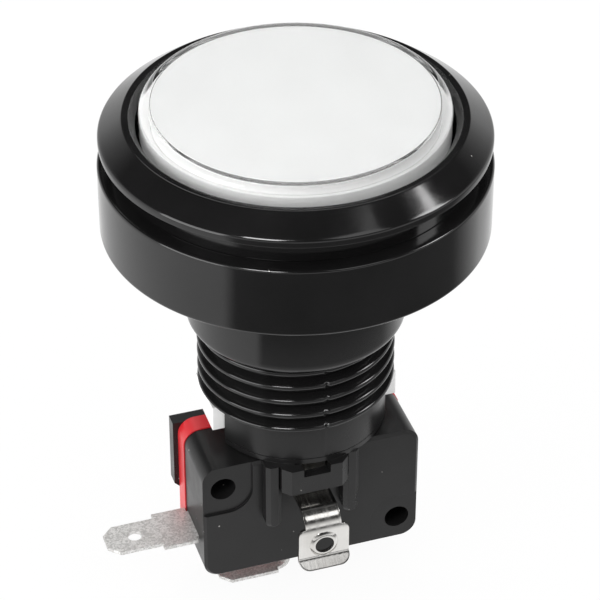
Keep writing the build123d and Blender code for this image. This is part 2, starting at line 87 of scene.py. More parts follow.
# Bezel, bowl and stem
BEZEL_LOW = 11.6
BEZEL_SHOULDER = 12.5
BEZEL_LIP = 1.5
LIP_CHAMFER = 0.75  # width of the slope down to the bowl
LIP_DROP = 0.9  # its height
BOWL_R = 18.2
BOWL_FLOOR = 5.0
SPIGOT_R = 19.5
SPIGOT_LOW = 3.4
SEAT_R = 20.8
STEM_R = 10.75
STEM_LOW = -22.4
SPRING_BORE_R = 9.6
SPRING_SHELF = -8.0
GUIDE_R = 8.8
PILOT_R = 10.9
PILOT_BORE_R = 9.9
SLOT_HALF = 3.9

# Thread on the stem
THREAD_R = 11.85
THREAD_PITCH = 2.07
THREAD_TURNS = 6.0
THREAD_START_DEG = -160  # where the ridge's middle meets the thread's lower end
THREAD_LEAD = 0.4  # turns that start below the thread's lower end and are cut square there
THREAD_STEPS = 280  # for each turn
CREST_HALF = 0.22
CREST_ROUND = 0.32
ROOT_HALF = 0.9
ROOT_SINK = 0.15
ROOT_ROUND = 0.02
RUN_OUT_DEG = 45  # over which the ridge falls to nothing at its upper end
RIDGE_LEAST = 0.02  # height that is left there
SQUARE_CUT = 0.01  # height of the cut end over the stem's own
THREAD_ARC_STEPS = 7

# Parting lines of the mould
PARTING_HALF_DEG = 1.6  # where the line's bell curve has all but died away
PARTING_SPAN_DEG = 3.0  # either side of the line, with closer points
PARTING_STEPS = 13
PARTING_DIP = 0.25  # share of the thread's height lost at the line
STEM_RIDGE = 0.012  # height of the line on the stem, as a share of the radius
STEM_SKIN_R = 10.0  # between the stem's bores and its outside
STEM_RIDGE_DROP = 1.0  # from the bowl's underside down to the line's upper end
PILOT_RIDGE = 0.05
PILOT_SKIN = 0.2  # depth of the pilot's outside, which carries the line
PILOT_STEPS = 121

# Collar
COLLAR_FLOOR = 2.6
RECESS_R = 19.8
NECK_R = 13.1
NECK_BORE_R = 12.15

# Cap and disc
CAP_WALL = 0.87  # reaches just into the plunger's rim, as a pressed-on cap does
CAP_EDGE = 1.1  # rounding of its top
CAP_SKIN = 0.2  # clear layer over the disc
DISC_HEAD_R = 16.4  # the disc's upper step, under the skin
RIM_SEAT = 0.08  # from the disc's CAD top down to the upper step
AIR_GAP = 0.05
HEAD_BAND = 0.6  # height of the head's free side
HEAD_PRESS = 0.03  # how far the head's lower side is pressed into the cap

# Lamp terminals
CLIP_X = -1.1
STRIP_HALF = 2.25
STRIP_T = 0.5
LUG_HALF = 3.15
LUG_ROUND = 1.3
LUG_HOLE_R = 1.17
EYELET_R = 1.6
EYELET_H = 0.3
LUG_TOP = -35.2
LUG_CENTRE = -37.65
STRIP_LINE = [(1.75, -17.5), (1.75, -26.6), (9.05, -26.6), (9.05, -33.7),
              (14.15, -33.7), (14.15, -39.6), (15.35, -40.8)]
STRIP_BENDS = [0.8, 0.8, 0.8, 2.2, 0.8]
BEND_SAMPLES = 4000  # along the bent line
STRIP_GRID = (13, 150)  # points across and along the strip
LUG_BEND = 3  # the bend above the lug, counted from 0
LUG_ARC_STEPS = 12
LUG_POINTS = 140  # round the lug's outline
LUG_RINGS = 16  # from the eyelet out to that outline
EYELET_RINGS = 7  # from the hole out to the eyelet's edge
EYELET_EDGE = 0.1  # past the eyelet's radius, where its lift starts
EYELET_SLOPE = 0.35  # over which it rises
STRIP_CLEAR = 0.02  # outline points on the strip's end, up to this far beside it, give way to its own
SAME_HEIGHT = 0.001
LUG_EASE = 0.12  # broken edge of the sheet
LUG_EASE_STEPS = 2
LUG_EASE_DEG = 50

# Return spring
WIRE_R = 0.35
WIRE_SIDES = 12
COIL_R = 9.0
COIL_TURNS = 5
COIL_STEPS = 72  # for each turn

# Finishes
DUST_COLOUR = (0.3, 0.29, 0.28, 1)

# Making of meshes
MERGE_DIST = 2e-6  # metres
SLIVER_DIST = 1e-7
SHARP_DEG = 32  # edges past this stay sharp
FLAT_DEG = 0.5  # triangles within this lie in one flat
EASE_DEG = 40  # edges past this are broken
EASE_STEPS = 3
TURN_STEPS = 256  # once round the axis
ARC_STEPS = 6  # in the rounding of a corner
HOLD_BY_RADIUS = 0.5  # hold point's distance from an arc, as a share of its radius
HOLD_BY_SIDE = 0.3  # and at most this share of the side left over


def grid_faces(rows, columns, close_rows=True, close_columns=True):
    """Quads between neighbours of a grid numbered row by row, wrapped round where it closes."""
    row, column = np.meshgrid(
        np.arange(rows if close_rows else rows - 1),
        np.arange(columns if close_columns else columns - 1),
        indexing="ij",
    )
    next_row = (row + 1) % rows
    next_column = (column + 1) % columns
    quads = [row * columns + column, next_row * columns + column,
             next_row * columns + next_column, row * columns + next_column]
    return np.stack(quads, axis=-1).reshape(-1, 4)


def end_rings(points):
    """Point numbers of a grid's first and last row, which close a swept piece at its ends."""
    rows, columns = points.shape[:2]
    return range(columns), range(rows * columns - columns, rows * columns)


def rounded(corners, steps=ARC_STEPS):
    """Closed outline from corners (a, b, radius). Each corner becomes an arc that touches both its
    sides: its centre lies on the bisector, radius over the sine of half the angle away, and the
    arc turns evenly between the touching points. A hold point beside each end keeps the sides flat."""
    table = np.array(corners, float)
    point = table[:, :2]
    radius = table[:, 2:]
    before = np.roll(point, 1, axis=0) - point
    after = np.roll(point, -1, axis=0) - point
    side = np.linalg.norm(after, axis=1, keepdims=True)
    before = before / np.roll(side, 1, axis=0)
    after = after / side
    half = np.arccos(np.clip((before * after).sum(axis=1, keepdims=True), -1, 1)) / 2
    reach = radius / np.tan(half)
    bisector = before + after
    centre = point + bisector / np.linalg.norm(bisector, axis=1, keepdims=True) * radius / np.sin(half)
    free = side - reach - np.roll(reach, -1, axis=0)
    hold_after = np.minimum(HOLD_BY_RADIUS * radius, HOLD_BY_SIDE * free)
    hold_before = np.minimum(HOLD_BY_RADIUS * radius, HOLD_BY_SIDE * np.roll(free, 1, axis=0))
    start = point + before * reach
    end = point + after * reach
    turn = (math.pi - 2 * half)[:, None, :]
    share = np.linspace(0, 1, steps)[None, :, None]
    from_start = np.sin((1 - share) * turn) * (start - centre)[:, None]
    from_end = np.sin(share * turn) * (end - centre)[:, None]
    arc = centre[:, None] + (from_start + from_end) / np.sin(turn)
    first = (start + before * hold_before)[:, None]
    last = (end + after * hold_after)[:, None]
    return np.concatenate([first, arc, last], axis=1).reshape(-1, 2)


def evenly(outline, count):
    """Closed outline sampled again at equal steps of its length."""
    closed = np.concatenate([outline, outline[:1]])
    mark = np.concatenate([[0], np.cumsum(np.linalg.norm(np.diff(closed, axis=0), axis=1))])
    step = np.linspace(0, mark[-1], count, endpoint=False)
    return np.stack([np.interp(step, mark, closed[:, 0]), np.interp(step, mark, closed[:, 1])], axis=-1)


def spun(outline, angles):
    """Outline of (radius, height) carried round the axis: x is radius times the angle's cosine and
    y its sine, with one row of points for each angle."""
    turn = angles[:, None]
    radius = outline[None, :, 0]
    height = np.broadcast_to(outline[None, :, 1], (len(angles), len(outline)))
    return np.stack([radius * np.cos(turn), radius * np.sin(turn), height], axis=-1)


def full_turn(count=TURN_STEPS):
    """Evenly spaced angles once round, without the last one."""
    return np.linspace(0, 2 * math.pi, count, endpoint=False)


def smooth(mesh):
    """Shades a mesh smooth up to an angle."""
    mesh.shade_smooth()
    mesh.set_sharp_from_angle(angle=math.radians(SHARP_DEG))


def shaded(mesh):
    """Merges doubled points, turns faces outwards and shades the mesh smooth."""
    work = bmesh.new()
    work.from_mesh(mesh)
    bmesh.ops.remove_doubles(work, verts=work.verts, dist=MERGE_DIST)
    bmesh.ops.dissolve_degenerate(work, edges=work.edges, dist=SLIVER_DIST)
    bmesh.ops.recalc_face_normals(work, faces=work.faces)
    work.to_mesh(mesh)
    work.free()
    smooth(mesh)


def placed(name, mesh, finish, body, node):
    """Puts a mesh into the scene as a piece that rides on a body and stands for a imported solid."""
    piece = bpy.data.objects.new(name, mesh)
    bpy.context.scene.collection.objects.link(piece)
    mesh.materials.clear()
    mesh.materials.append(finish)
    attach(piece, body)
    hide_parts(node)
    return piece


def surface(name, points, faces, finish, body, node, ends=()):
    """Piece from a grid of points in millimetres, its quads and any end caps."""
    mesh = bpy.data.meshes.new(name)
    end_faces = [list(end) for end in ends]
    mesh.from_pydata((points.reshape(-1, 3) * MM).tolist(), [], faces.tolist() + end_faces)
    shaded(mesh)
    return placed(name, mesh, finish, body, node)


def turned(name, corners, finish, body, node, solid_core=False):
    """Piece turned about the axis from rounded corners (radius, height, rounding)."""
    points = spun(rounded(corners), full_turn())
    faces = grid_faces(*points.shape[:2], close_columns=not solid_core)
    return surface(name, points, faces, finish, body, node)


def eased(node, width, finish, body):
    """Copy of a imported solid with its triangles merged, its flats joined and its edges broken."""
    work = bmesh.new()
    work.from_mesh(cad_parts[node].data)
    bmesh.ops.remove_doubles(work, verts=work.verts, dist=MERGE_DIST)
    bmesh.ops.dissolve_limit(work, angle_limit=math.radians(FLAT_DEG), verts=work.verts, edges=work.edges)
    mesh = bpy.data.meshes.new(node + "_eased")
    work.to_mesh(mesh)
    work.free()
    if "custom_normal" in mesh.attributes:
        mesh.attributes.remove(mesh.attributes["custom_normal"])
    smooth(mesh)
    piece = placed(node + "_eased", mesh, finish, body, node)
    bevel = piece.modifiers.new("edge", "BEVEL")
    bevel.width = width * MM
    bevel.segments = EASE_STEPS
    bevel.limit_method = "ANGLE"
    bevel.angle_limit = math.radians(EASE_DEG)
    bevel.harden_normals = True
    return piece


def add_node(tree, kind, inputs=(), **settings):
    """Shader node with its settings, its sockets set or linked by name or number."""
    node = tree.nodes.new(kind)
    for setting, value in settings.items():
        setattr(node, setting, value)
    for socket, value in dict(inputs).items():
        if isinstance(value, bpy.types.NodeSocket):
            tree.links.new(value, node.inputs[socket])
        else:
            node.inputs[socket].default_value = value
    return node


def plain_finish(name, **sockets):
    """Material of one shader with the numbers that are even all over set on its own sockets."""
    finish = bpy.data.materials.new(name)
    finish.use_nodes = True
    shader = finish.node_tree.nodes["Principled BSDF"]
    for socket, value in sockets.items():
        shader.inputs[socket.replace("_", " ")].default_value = value
    return finish, finish.node_tree, shader


def place_on(tree, stretch=(1, 1, 1)):
    """Object coordinates, stretched along the axes."""
    where = add_node(tree, "ShaderNodeTexCoord").outputs["Object"]
    return add_node(tree, "ShaderNodeMapping", {"Vector": where, "Scale": stretch}).outputs["Vector"]


def cloud(tree, scale, detail=4.0, stretch=(1, 1, 1)):
    """Soft noise, with its scale in cycles for each metre."""
    sockets = {"Vector": place_on(tree, stretch), "Scale": scale, "Detail": detail}
    return add_node(tree, "ShaderNodeTexNoise", sockets).outputs["Fac"]


def spread(tree, value, low, high, start=0.3, end=0.7):
    """A value mapped from one range to another and held there."""
    sockets = {"Value": value, "From Min": start, "From Max": end, "To Min": low, "To Max": high}
    return add_node(tree, "ShaderNodeMapRange", sockets).outputs["Result"]


def tinted(tree, value, low, high):
    """Colour between two tints, after a value from 0.3 to 0.7."""
    ramp = add_node(tree, "ShaderNodeValToRGB", {"Fac": value})
    ramp.color_ramp.elements[0].position = 0.3
    ramp.color_ramp.elements[0].color = (*low, 1)
    ramp.color_ramp.elements[1].position = 0.7
    ramp.color_ramp.elements[1].color = (*high, 1)
    return ramp.outputs["Color"]


def calc(tree, operation, first, second):
    """Result of one sum of two values."""
    return add_node(tree, "ShaderNodeMath", {0: first, 1: second}, operation=operation).outputs[0]


def specks(tree, scale, size, share):
    """1 on small round specks, one in some of the cells of a scattered pattern."""
    cells = add_node(tree, "ShaderNodeTexVoronoi", {"Vector": place_on(tree), "Scale": scale})
    near = calc(tree, "LESS_THAN", cells.outputs["Distance"], size)
    chosen = add_node(tree, "ShaderNodeSeparateColor", {"Color": cells.outputs["Color"]}).outputs[0]
    return calc(tree, "MULTIPLY", near, calc(tree, "LESS_THAN", chosen, share))


def mixed(tree, factor, first, second):
    """Colour between two others."""
    sockets = {0: factor, 6: first, 7: second}
    return add_node(tree, "ShaderNodeMix", sockets, data_type="RGBA").outputs[2]


def bumped(tree, shader, height, distance, strength=1.0):
    """Bump of a height given in metres at full value."""
    bump = add_node(tree, "ShaderNodeBump", {"Height": height, "Distance": distance, "Strength": strength})
    tree.links.new(bump.outputs["Normal"], shader.inputs["Normal"])


def black_plastic(name, low, high, roughness, grain_scale, grain_height, dust, ior=1.52):
    """Moulded black plastic: slow shade changes, uneven gloss, fine grain and a little dust."""
    finish, tree, shader = plain_finish(name, IOR=ior)
    shade = tinted(tree, cloud(tree, scale=90), (low,) * 3, (high, high * 0.97, high))
    colour = mixed(tree, specks(tree, scale=620, size=0.06, share=dust), shade, DUST_COLOUR)
    tree.links.new(colour, shader.inputs["Base Color"])
    tree.links.new(spread(tree, cloud(tree, scale=260, detail=6), *roughness), shader.inputs["Roughness"])
    bumped(tree, shader, cloud(tree, grain_scale, detail=3), grain_height)
    return finish


def coloured_plastic(name, low, high, roughness):
    """Moulded plastic in a colour, with slow changes of shade and gloss."""
    finish, tree, shader = plain_finish(name, IOR=1.5)
    tree.links.new(tinted(tree, cloud(tree, scale=140), low, high), shader.inputs["Base Color"])
    tree.links.new(spread(tree, cloud(tree, scale=420), *roughness), shader.inputs["Roughness"])
    bumped(tree, shader, cloud(tree, scale=1500), distance=0.000004)
    return finish


def clear_plastic():
    """Clear moulding, polished, with a trace of wear in its gloss."""
    finish, tree, shader = plain_finish(
        "clear_plastic", Base_Color=(0.98, 0.985, 0.985, 1), Transmission_Weight=1.0, IOR=1.49
    )
    tree.links.new(spread(tree, cloud(tree, scale=240), low=0.0, high=0.05), shader.inputs["Roughness"])
    return finish


def bright_plate():
    """Nickel plate on bent strip: bright, with fine draw lines along the strip."""
    finish, tree, shader = plain_finish("bright_plate", Metallic=1.0)
    lines = cloud(tree, scale=900, detail=3, stretch=(4, 0.3, 0.3))
    colour = tinted(tree, cloud(tree, scale=220), low=(0.66, 0.645, 0.62), high=(0.8, 0.79, 0.77))
    tree.links.new(colour, shader.inputs["Base Color"])
    tree.links.new(spread(tree, lines, low=0.1, high=0.26), shader.inputs["Roughness"])
    bumped(tree, shader, lines, distance=0.000006)
    return finish


def tin_plate():
    """Matte tin with a mottled crystal pattern."""
    finish, tree, shader = plain_finish("tin_plate", Metallic=0.75)
    cells = add_node(tree, "ShaderNodeTexVoronoi", {"Vector": place_on(tree), "Scale": 5200.0})
    patch = add_node(tree, "ShaderNodeSeparateColor", {"Color": cells.outputs["Color"]}).outputs[0]
    half_patch = calc(tree, "MULTIPLY", patch, 0.5)
    half_cloud = calc(tree, "MULTIPLY", cloud(tree, scale=700), 0.5)
    mottle = calc(tree, "ADD", half_patch, half_cloud)
    colour = tinted(tree, mottle, low=(0.53, 0.523, 0.51), high=(0.78, 0.772, 0.757))
    tree.links.new(colour, shader.inputs["Base Color"])
    tree.links.new(spread(tree, mottle, low=0.54, high=0.46), shader.inputs["Roughness"])
    bumped(tree, shader, mottle, distance=0.000002)
    return finish


def drawn_metal(name, low, high):
    """Rolled or drawn metal with fine lines."""
    finish, tree, shader = plain_finish(name, Metallic=1.0)
    lines = cloud(tree, scale=800, detail=3, stretch=(0.4, 4, 4))
    tree.links.new(tinted(tree, lines, low, high), shader.inputs["Base Color"])
    tree.links.new(spread(tree, lines, low=0.2, high=0.4), shader.inputs["Roughness"])
    return finish


def stem_angles():
    """Angles round the stem, closer together at the two parting lines."""
    fine = np.radians(np.linspace(-PARTING_SPAN_DEG, PARTING_SPAN_DEG, PARTING_STEPS))
    lines = np.concatenate([math.pi / 2 + fine, 3 * math.pi / 2 + fine])
    return np.unique(np.concatenate([full_turn(), lines]))


def parting(angles):
    """1 on the two parting lines, at the front and the back, and 0 away from them, as a bell curve."""
    off = (angles % math.pi) - math.pi / 2
    return np.exp(-((off / math.radians(PARTING_HALF_DEG / 2)) ** 2))


def bezel_and_stem(finish):
    """Bezel, bowl and stem in one turned surface, with a fine ridge where the mould parts."""
    corners = [
        (BOWL_R, BOWL_FLOOR, 0.3),
        (BOWL_R, bezel_top - LIP_DROP, 0.15),
        (BOWL_R + LIP_CHAMFER, bezel_top, 0.12),
        (BOWL_R + BEZEL_LIP, bezel_top, 0.25),
        (bezel_r, BEZEL_SHOULDER, 0.55),
        (bezel_r, BEZEL_LOW, 0.2),
        (SEAT_R, BEZEL_LOW, 0.2),
        (SEAT_R, collar_high[2], 0.1),
        (SPIGOT_R, collar_high[2], 0.1),
        (SPIGOT_R, SPIGOT_LOW, 0.3),
        (STEM_R, SPIGOT_LOW, 0.3),
        (STEM_R, STEM_LOW, 0.08),
        (GUIDE_R, STEM_LOW, 0.15),
        (GUIDE_R, SPRING_SHELF, 0.1),
        (SPRING_BORE_R, SPRING_SHELF, 0.1),
        (SPRING_BORE_R, BOWL_FLOOR, 0.2),
    ]
    angles = stem_angles()
    points = spun(rounded(corners), angles)
    height = points[..., 2]
    outside = np.hypot(points[..., 0], points[..., 1]) > STEM_SKIN_R
    on_stem = (height < SPIGOT_LOW - STEM_RIDGE_DROP) & (height > STEM_LOW) & outside
    points[..., :2] *= (1 + STEM_RIDGE * parting(angles)[:, None] * on_stem)[..., None]
    faces = grid_faces(*points.shape[:2])
    return surface("bezel_and_stem", points, faces, finish, "body", "housing")


def pilot_wall(side, finish):
    """One of the two walls below the stem: a rounded section (radius, height) swept between two flat
    slot sides, so that the end angle is a right angle less the arc sine of half the slot over the radius."""
    corners = [(PILOT_BORE_R, STEM_LOW, 0.1), (PILOT_R, STEM_LOW, 0.15), (PILOT_R, pilot_low, 0.15),
               (PILOT_BORE_R, pilot_low, 0.1)]
    section = rounded(corners)
    share = np.linspace(-1, 1, PILOT_STEPS)[:, None]
    angle = share * (math.pi / 2 - np.arcsin(SLOT_HALF / section[None, :, 0]))
    outside = section[None, :, 0] > PILOT_R - PILOT_SKIN
    ridge = np.exp(-((angle / math.radians(PARTING_HALF_DEG / 3)) ** 2)) * outside
    radius = section[None, :, 0] + PILOT_RIDGE * ridge
    height = np.broadcast_to(section[None, :, 1], angle.shape)
    points = np.stack([radius * np.sin(angle), side * radius * np.cos(angle), height], axis=-1)
    faces = grid_faces(*points.shape[:2], close_rows=False)
    name = "pilot_front" if side < 0 else "pilot_back"
    return surface(name, points, faces, finish, "body", "housing", end_rings(points))


def thread(finish):
    """Thread: a rounded trapezoid (outwards, along) carried up a helix. It is cut square at the thread's
    end, falls to nothing over its last eighth of a turn and dips where it crosses the parting lines."""
    corners = [(0, -ROOT_HALF, ROOT_ROUND), (1, -CREST_HALF, CREST_ROUND),
               (1, CREST_HALF, CREST_ROUND), (0, ROOT_HALF, ROOT_ROUND)]
    section = rounded(corners, THREAD_ARC_STEPS)
    base = STEM_R - ROOT_SINK
    travel = np.linspace(-THREAD_LEAD, THREAD_TURNS, int(THREAD_TURNS * THREAD_STEPS)) * 2 * math.pi
    angle = math.radians(THREAD_START_DEG) + travel
    ease = np.clip((travel[-1] - travel) / math.radians(RUN_OUT_DEG), 0, 1)
    ease = ease * ease * (3 - 2 * ease)
    height = (THREAD_R - base) * ease * (1 - PARTING_DIP * parting(angle)) + RIDGE_LEAST
    radius = base + section[None, :, 0] * height[:, None]
    along = STEM_LOW + THREAD_PITCH * travel / (2 * math.pi)
    rise = np.maximum(along[:, None] + section[None, :, 1], STEM_LOW + SQUARE_CUT)
    points = np.stack([radius * np.cos(angle)[:, None], radius * np.sin(angle)[:, None], rise], axis=-1)
    faces = grid_faces(*points.shape[:2], close_rows=False)
    return surface("thread", points, faces, finish, "body", "housing", end_rings(points))


def collar(finish):
    """Loose collar with its neck, turned."""
    corners = [
        (NECK_BORE_R, collar_low[2], 0.1),
        (NECK_R, collar_low[2], 0.85),
        (NECK_R, 0, 0.2),
        (collar_r, 0, 0.4),
        (collar_r, collar_high[2], 0.35),
        (RECESS_R, collar_high[2], 0.3),
        (RECESS_R, COLLAR_FLOOR, 0.2),
        (NECK_BORE_R, COLLAR_FLOOR, 0.1),
    ]
    return turned("collar", corners, finish, "body", "spacer_collar")


def cap(finish):
    """Clear cap: a thin skin over the disc, a thick rounded edge and a skirt pressed onto the plunger."""
    top = cap_high[2]
    seat = disc_high[2] - RIM_SEAT - AIR_GAP
    corners = [
        (0, top, 0),
        (cap_r, top, CAP_EDGE),
        (cap_r, cap_low[2], 0.12),
        (cap_r - CAP_WALL, cap_low[2], 0.12),
        (cap_r - CAP_WALL, seat, 0.1),
        (DISC_HEAD_R + AIR_GAP, seat, 0.1),
        (DISC_HEAD_R + AIR_GAP, top - CAP_SKIN, 0.1),
        (0, top - CAP_SKIN, 0),
    ]
    piece = turned("cap", corners, finish, "button", "lens_cap", solid_core=True)
    piece.visible_shadow = False
    return piece


def disc(finish):
    """White disc: a wide head under the cap's skin, pressed into the cap below a free band of its side,
    and a foot in the plunger's seat."""
    top = cap_high[2] - CAP_SKIN - AIR_GAP
    step = disc_high[2] - RIM_SEAT
    foot_r = disc_high[0] - AIR_GAP
    pressed_r = DISC_HEAD_R + AIR_GAP + HEAD_PRESS
    corners = [
        (0, top, 0),
        (DISC_HEAD_R, top, 0.1),
        (DISC_HEAD_R, top - HEAD_BAND, 0.02),
        (pressed_r, top - HEAD_BAND, 0.02),
        (pressed_r, step, 0.02),
        (foot_r, step, 0.05),
        (foot_r, disc_low[2], 0.1),
        (0, disc_low[2], 0),
    ]
    return turned("disc", corners, finish, "button", "legend_disc", solid_core=True)


def spring(finish):
    """Round wire wound on a helix: circle points set along the outward and the crosswise direction."""
    angle = np.linspace(0, COIL_TURNS * 2 * math.pi, COIL_TURNS * COIL_STEPS)
    low = spring_low[2] + WIRE_R
    high = spring_high[2] - WIRE_R
    centre_z = np.linspace(low, high, len(angle))
    slope = math.atan((high - low) / (COIL_TURNS * 2 * math.pi * COIL_R))
    around = full_turn(WIRE_SIDES)
    outward = COIL_R + WIRE_R * np.cos(around)[None, :]
    aside = -WIRE_R * np.sin(around)[None, :] * math.sin(slope)
    upward = centre_z[:, None] + WIRE_R * np.sin(around)[None, :] * math.cos(slope)
    cosine = np.cos(angle)[:, None]
    sine = np.sin(angle)[:, None]
    points = np.stack([outward * cosine - aside * sine, outward * sine + aside * cosine, upward], axis=-1)
    faces = grid_faces(*points.shape[:2], close_rows=False)
    ends = end_rings(points)
    piece = surface("spring", points, faces, finish, "body", "return_spring", ends)
    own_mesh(piece)
    return piece


def bent(depth_line, bends, flat):
    """Bends flat strip points (across, along, out) onto a line in the (depth, height) plane with arcs at
    its corners: along runs down the line's length, and out is measured square to it."""
    line = np.array(depth_line, float)
    step = np.diff(line, axis=0)
    length = np.linalg.norm(step, axis=1)
    heading = np.unwrap(np.arctan2(step[:, 1], step[:, 0]))
    turn = np.diff(heading)
    cut = np.abs(np.tan(turn / 2)) * np.array(bends)
    arc = np.abs(turn) * np.array(bends)
    straight = length - np.append(cut, 0) - np.insert(cut, 0, 0)
    runs = np.stack([straight, np.append(arc, 0)], axis=1).ravel()
    mark = np.concatenate([[0], np.cumsum(runs)])
    fine = np.linspace(0, mark[-1], BEND_SAMPLES)
    angle_at = np.repeat(heading, 2)
    angle = np.interp(fine, mark, np.append(angle_at, angle_at[-1:]))
    stride = np.diff(fine, prepend=0)
    depth = line[0, 0] + np.cumsum(np.cos(angle) * stride)
    height = line[0, 1] + np.cumsum(np.sin(angle) * stride)
    along = flat[..., 1]
    tilt = np.interp(along, fine, angle)
    y = np.interp(along, fine, depth) - np.sin(tilt) * flat[..., 2]
    z = np.interp(along, fine, height) + np.cos(tilt) * flat[..., 2]
    return np.stack([flat[..., 0], y, z], axis=-1), mark


def lamp_terminal(side, finish):
    """Solder lug on a bent strip. The flat blank is a strip grid and a ring grid from the hole out to
    the lug's rounded outline, both bent along one line and given their thickness afterwards."""
    mark = bent(STRIP_LINE, STRIP_BENDS, np.zeros((1, 3)))[1]
    lug_end = mark[-1]
    bend_end = mark[2 * LUG_BEND + 2]
    lug_start = bend_end + STRIP_LINE[LUG_BEND + 1][1] - STRIP_BENDS[LUG_BEND] - LUG_TOP
    middle = lug_start + LUG_TOP - LUG_CENTRE
    shoulder = LUG_HALF - STRIP_HALF
    across = np.linspace(-STRIP_HALF, STRIP_HALF, STRIP_GRID[0])
    down = np.linspace(0, lug_start, STRIP_GRID[1])
    strip = np.stack(np.broadcast_arrays(across[None, :], down[:, None], 0.0), axis=-1)
    corners = [(-LUG_HALF, lug_start, shoulder), (-LUG_HALF, lug_end, LUG_ROUND),
               (LUG_HALF, lug_end, LUG_ROUND), (LUG_HALF, lug_start, shoulder)]
    edge = evenly(rounded(corners, LUG_ARC_STEPS), LUG_POINTS)
    below_strip = edge[:, 1] > lug_start + SAME_HEIGHT
    beside_strip = np.abs(edge[:, 0]) > STRIP_HALF + STRIP_CLEAR
    edge = edge[below_strip | beside_strip]
    rim = np.concatenate([edge, np.stack(np.broadcast_arrays(across, lug_start), axis=-1)])
    angle = np.arctan2(rim[:, 1] - middle, rim[:, 0])
    rim = rim[np.argsort(angle)]
    angle = np.sort(angle)
    hole = np.stack([LUG_HOLE_R * np.cos(angle), middle + LUG_HOLE_R * np.sin(angle)], axis=-1)
    eyelet = np.stack([EYELET_R * np.cos(angle), middle + EYELET_R * np.sin(angle)], axis=-1)
    near = np.linspace(0, 1, EYELET_RINGS)[None, :, None]
    far = np.linspace(0, 1, LUG_RINGS)[None, 1:, None]
    ring = np.concatenate([hole[:, None] * (1 - near) + eyelet[:, None] * near,
                           eyelet[:, None] * (1 - far) + rim[:, None] * far], axis=1)
    away = np.linalg.norm(ring - np.array([0, middle]), axis=-1)
    lift = EYELET_H * np.clip((EYELET_R + EYELET_EDGE - away) / EYELET_SLOPE, 0, 1)
    ring = np.concatenate([ring, lift[..., None]], axis=-1)
    flat = np.concatenate([strip.reshape(-1, 3), ring.reshape(-1, 3)])
    shape = bent(STRIP_LINE, STRIP_BENDS, flat)[0]
    points = np.stack([CLIP_X + shape[:, 0], side * shape[:, 1], shape[:, 2]], axis=-1)
    faces = np.concatenate([grid_faces(len(down), len(across), False, False),
                            strip.size // 3 + grid_faces(*ring.shape[:2], True, False)])
    name = "front_lug" if side < 0 else "rear_lug"
    node = "front_lamp_terminal" if side < 0 else "rear_lamp_terminal"
    piece = surface(name, points, faces, finish, "body", node)
    sheet = piece.modifiers.new("thickness", "SOLIDIFY")
    sheet.thickness = STRIP_T * MM
    sheet.offset = 0
    bevel = piece.modifiers.new("edge", "BEVEL")
    bevel.width = LUG_EASE * MM
    bevel.segments = LUG_EASE_STEPS
    bevel.limit_method = "ANGLE"
    bevel.angle_limit = math.radians(LUG_EASE_DEG)
    return piece


def dress():
    """Every piece with its finish."""
    gloss = black_plastic("black_gloss", low=0.004, high=0.007, roughness=(0.07, 0.15),
                          grain_scale=420, grain_height=0.000004, dust=0.05)
    satin = black_plastic("black_satin", low=0.005, high=0.009, roughness=(0.26, 0.36),
                          grain_scale=2400, grain_height=0.000006, dust=0.15, ior=1.42)
    case = black_plastic("case_black", low=0.004, high=0.008, roughness=(0.3, 0.4),
                         grain_scale=3200, grain_height=0.000008, dust=0.3, ior=1.4)
    white = coloured_plastic("white_plastic", (0.86, 0.86, 0.855), (0.9, 0.9, 0.895), (0.3, 0.42))
    red = coloured_plastic("red_plastic", (0.56, 0.016, 0.022), (0.66, 0.022, 0.03), (0.28, 0.4))
    clear = clear_plastic()
    plate = bright_plate()
    tin = tin_plate()
    steel = drawn_metal("spring_steel", (0.5, 0.5, 0.51), (0.68, 0.68, 0.69))
    brass = drawn_metal("contact_metal", (0.6, 0.42, 0.22), (0.78, 0.58, 0.34))
    bezel_and_stem(gloss)
    for side in (-1, 1):
        pilot_wall(side, satin)
        lamp_terminal(side, plate)
    thread(gloss)
    collar(gloss)
    cap(clear)
    disc(white)
    spring(steel)
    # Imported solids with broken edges, by the width of the edge
    eased("plunger", 0.12, white, "button")
    eased("lamp_holder", 0.12, satin, "body")
    eased("switch_case", 0.09, case, "body")
    eased("switch_cover", 0.15, red, "body")
    eased("com_terminal", 0.05, tin, "body")
    eased("no_terminal", 0.05, tin, "body")
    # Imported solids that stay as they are
    kept = {"switch_pin": red, "lamp_base": white, "lamp_led": clear, "lamp_lead_front": plate,
            "lamp_lead_rear": plate, "moving_blade": brass, "moving_contact": brass, "fixed_contact": brass}
    for node, finish in kept.items():
        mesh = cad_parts[node].data
        mesh.materials.clear()
        mesh.materials.append(finish)


# Camera, from the photograph
VIEW_AZ = 18.0
VIEW_EL = 34.5
VIEW_DISTANCE = 0.3015
VIEW_LENS = 156.5
VIEW_SENSOR = 36.0
VIEW_AIM = Vector((0, 0, 0.002))
VIEW_SHIFT = (0.0072, -0.16)
VIEW_NEAREST = 0.01

# Studio, in metres
FLOOR_DROP = 0.0005  # from the part's lowest point
FLOOR_Z = cad_box[0][2] - FLOOR_DROP
FLOOR_HALF = 4.0
FLOOR_SEEN = 0.94  # share of the floor that is plain white to the eye, the rest takes the shadow
AMBIENT = 0.96  # what the room gives to matt surfaces
CEILING_LEVEL = 0.03  # what it gives to reflections from above
CEILING_FROM = 0.12  # sine of the elevation where it starts to darken
CEILING_TO = 0.48  # and of the one where it is darkest

